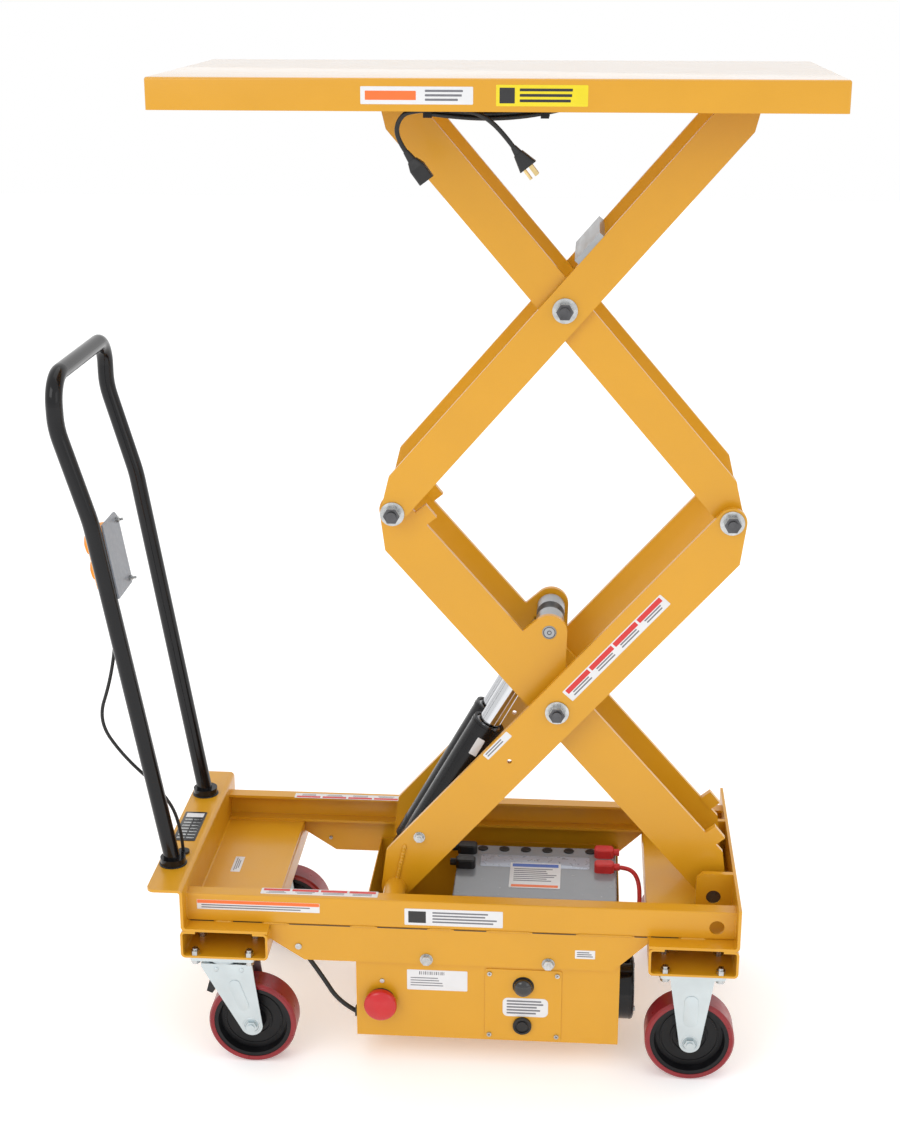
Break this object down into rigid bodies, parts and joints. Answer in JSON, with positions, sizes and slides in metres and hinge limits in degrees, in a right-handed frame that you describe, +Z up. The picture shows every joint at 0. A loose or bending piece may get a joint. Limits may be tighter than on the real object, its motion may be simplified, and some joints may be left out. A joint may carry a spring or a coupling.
{
  "type": "scissor lift table",
  "caption": "Mobile double scissor lift table, raised: sheet deck, two stacked pairs of flat arms, twin lift cylinders, battery power unit, push handle with pendant, swivel and rigid casters.",
  "frame": {"origin": "on the floor, under the middle of the table's plan extents, push handle included", "axes": "+Z up, +X from the push handle towards the fixed pivots, +Y from the controls' side to the far side"},
  "size_m": [1.2235, 0.508, 1.6659],
  "materials": {
    "bare_steel": "satin",
    "black_core": "satin",
    "black_paint": "gloss",
    "black_plastic": "matte",
    "black_rubber": "satin",
    "chrome_rod": "polished",
    "dark_steel": "satin",
    "grey_paint": "satin",
    "red_plastic": "gloss",
    "red_rubber": "satin",
    "red_tread": "satin",
    "roller": "satin",
    "yellow_paint": "gloss",
    "yellow_plastic": "gloss",
    "zinc": "satin"
  },
  "bodies": {
    "base": {"side_rails": "yellow_paint", "skirt_plates": "yellow_paint", "handle_end_plate": "yellow_paint", "pivot_end_plate": "yellow_paint", "caster_beams": "yellow_paint", "pivot_brackets": "yellow_paint", "base_pivot_shaft": "dark_steel", "control_box": "yellow_paint", "access_panel": "yellow_paint", "base_fasteners": "zinc", "small_fittings": "black_plastic", "pump_unit": "black_paint", "battery": "black_plastic", "terminal_boots": "red_rubber", "battery_leads": "red_rubber", "push_handle": "black_paint", "pendant_bracket": "grey_paint", "pendant_housing": "yellow_plastic", "pendant_cable": "black_rubber", "box_cable": "black_rubber", "swivel_caster_plates": "zinc", "rigid_caster_forks": "zinc"},
    "emergency_stop": {"estop_button": "red_plastic"},
    "lowering_valve": {"valve_knob": "black_plastic"},
    "up_button": {"up_button": "black_plastic"},
    "down_button": {"down_button": "black_plastic"},
    "lower_inner_arms": {"lower_inner_plates": "yellow_paint", "rod_brackets": "yellow_paint", "rod_pin": "bare_steel"},
    "lower_outer_arms": {"lower_outer_plates": "yellow_paint", "lower_outer_shafts": "zinc"},
    "upper_outer_arms": {"upper_outer_plates": "yellow_paint", "arm_tie_plate": "bare_steel", "upper_outer_shafts": "zinc"},
    "upper_inner_arms": {"upper_inner_plates": "yellow_paint", "upper_roller_axle": "bare_steel"},
    "lower_rollers": {"lower_rollers": "roller"},
    "upper_rollers": {"upper_rollers": "roller"},
    "cylinder_barrels": {"cylinder_barrels": "black_paint", "hydraulic_pipe": "zinc"},
    "cylinder_rods": {"cylinder_rods": "chrome_rod"},
    "deck": {"deck_shell": "yellow_paint", "deck_underframe": "yellow_paint", "cord_straps": "black_rubber", "charger_hank": "black_rubber", "connector_tail": "black_rubber", "plug_tail": "black_rubber", "charger_plugs": "black_plastic"},
    "swivel_fork_near": {"swivel_fork_near": "zinc"},
    "brake_pedal_near": {"brake_pedal_near": "black_plastic"},
    "swivel_wheel_near": {"swivel_wheel_core_near": "black_core", "swivel_wheel_tread_near": "red_tread"},
    "rigid_wheel_near": {"rigid_wheel_core_near": "black_core", "rigid_wheel_tread_near": "red_tread"},
    "swivel_fork_far": {"swivel_fork_far": "zinc"},
    "brake_pedal_far": {"brake_pedal_far": "black_plastic"},
    "swivel_wheel_far": {"swivel_wheel_core_far": "black_core", "swivel_wheel_tread_far": "red_tread"},
    "rigid_wheel_far": {"rigid_wheel_core_far": "black_core", "rigid_wheel_tread_far": "red_tread"}
  },
  "joints": [
    {"name": "lift", "type": "hinge", "parent": "base", "child": "lower_inner_arms", "pos_m": [0.48725, 0, 0.2895], "axis": [0, -1, 0], "range_deg": [0, 44.3]},
    {"name": "lower_cross", "type": "hinge", "parent": "lower_inner_arms", "child": "lower_outer_arms", "pos_m": [0.21137, 0, 0.62776], "axis": [0, -1, 0], "range_deg": [-88.6, 0]},
    {"name": "left_joint", "type": "hinge", "parent": "lower_inner_arms", "child": "upper_outer_arms", "pos_m": [-0.06451, 0, 0.96603], "axis": [0, -1, 0], "range_deg": [-88.6, 0]},
    {"name": "upper_cross", "type": "hinge", "parent": "upper_outer_arms", "child": "upper_inner_arms", "pos_m": [0.21137, 0, 1.30429], "axis": [0, -1, 0], "range_deg": [0, 88.6]},
    {"name": "deck_hinge", "type": "hinge", "parent": "upper_outer_arms", "child": "deck", "pos_m": [0.48725, 0, 1.64255], "axis": [0, -1, 0], "range_deg": [0, 44.3]},
    {"name": "cylinder_base", "type": "hinge", "parent": "lower_outer_arms", "child": "cylinder_barrels", "pos_m": [-0.06451, 0, 0.2895], "axis": [0, -1, 0], "range_deg": [0, 4.9]},
    {"name": "rod_slide", "type": "slide", "parent": "cylinder_barrels", "child": "cylinder_rods", "axis": [0.4858, 0, 0.8741], "range_m": [-0.17835, 0]},
    {"name": "lower_roller_spin", "type": "hinge", "parent": "lower_outer_arms", "child": "lower_rollers", "pos_m": [-0.06451, 0, 0.2895], "axis": [0, -1, 0], "continuous": true},
    {"name": "upper_roller_spin", "type": "hinge", "parent": "upper_inner_arms", "child": "upper_rollers", "pos_m": [-0.06451, 0, 1.64255], "axis": [0, -1, 0], "continuous": true},
    {"name": "emergency_stop_push", "type": "slide", "parent": "base", "child": "emergency_stop", "axis": [0, 1, 0], "range_m": [0, 0.005]},
    {"name": "lowering_valve_turn", "type": "hinge", "parent": "base", "child": "lowering_valve", "pos_m": [0.164, -0.2056, 0.158], "axis": [0, -1, 0], "range_deg": [0, 90]},
    {"name": "up_button_push", "type": "slide", "parent": "base", "child": "up_button", "axis": [0.9864, 0, 0.1645], "range_m": [0, 0.004], "stiffness_N_per_m": 300, "springref_m": -0.002},
    {"name": "down_button_push", "type": "slide", "parent": "base", "child": "down_button", "axis": [0.9864, 0, 0.1645], "range_m": [0, 0.004], "stiffness_N_per_m": 300, "springref_m": -0.002},
    {"name": "swivel_near", "type": "hinge", "parent": "base", "child": "swivel_fork_near", "pos_m": [-0.35, -0.2, 0.19], "axis": [0, 0, 1], "continuous": true},
    {"name": "brake_near", "type": "hinge", "parent": "swivel_fork_near", "child": "brake_pedal_near", "pos_m": [-0.366, -0.2, 0.173], "axis": [0, -1, 0], "range_deg": [0, 12]},
    {"name": "swivel_wheel_spin_near", "type": "hinge", "parent": "swivel_fork_near", "child": "swivel_wheel_near", "pos_m": [-0.304, -0.2, 0.0762], "axis": [0, -1, 0], "continuous": true},
    {"name": "rigid_wheel_spin_near", "type": "hinge", "parent": "base", "child": "rigid_wheel_near", "pos_m": [0.449, -0.2, 0.0762], "axis": [0, -1, 0], "continuous": true},
    {"name": "swivel_far", "type": "hinge", "parent": "base", "child": "swivel_fork_far", "pos_m": [-0.35, 0.2, 0.19], "axis": [0, 0, 1], "continuous": true},
    {"name": "brake_far", "type": "hinge", "parent": "swivel_fork_far", "child": "brake_pedal_far", "pos_m": [-0.366, 0.2, 0.173], "axis": [0, -1, 0], "range_deg": [0, 12]},
    {"name": "swivel_wheel_spin_far", "type": "hinge", "parent": "swivel_fork_far", "child": "swivel_wheel_far", "pos_m": [-0.304, 0.2, 0.0762], "axis": [0, -1, 0], "continuous": true},
    {"name": "rigid_wheel_spin_far", "type": "hinge", "parent": "base", "child": "rigid_wheel_far", "pos_m": [0.449, 0.2, 0.0762], "axis": [0, -1, 0], "continuous": true}
  ],
  "couplings": [
    {"joint": "lower_cross", "follows": "lift", "ratio": -2},
    {"joint": "left_joint", "follows": "lift", "ratio": -2},
    {"joint": "upper_cross", "follows": "lift", "ratio": 2},
    {"joint": "deck_hinge", "follows": "lift", "ratio": 1},
    {"joint": "cylinder_base", "follows": "lift", "ratio": 0.1106},
    {"joint": "rod_slide", "follows": "lift", "m_per_rad": -0.23067}
  ]
}
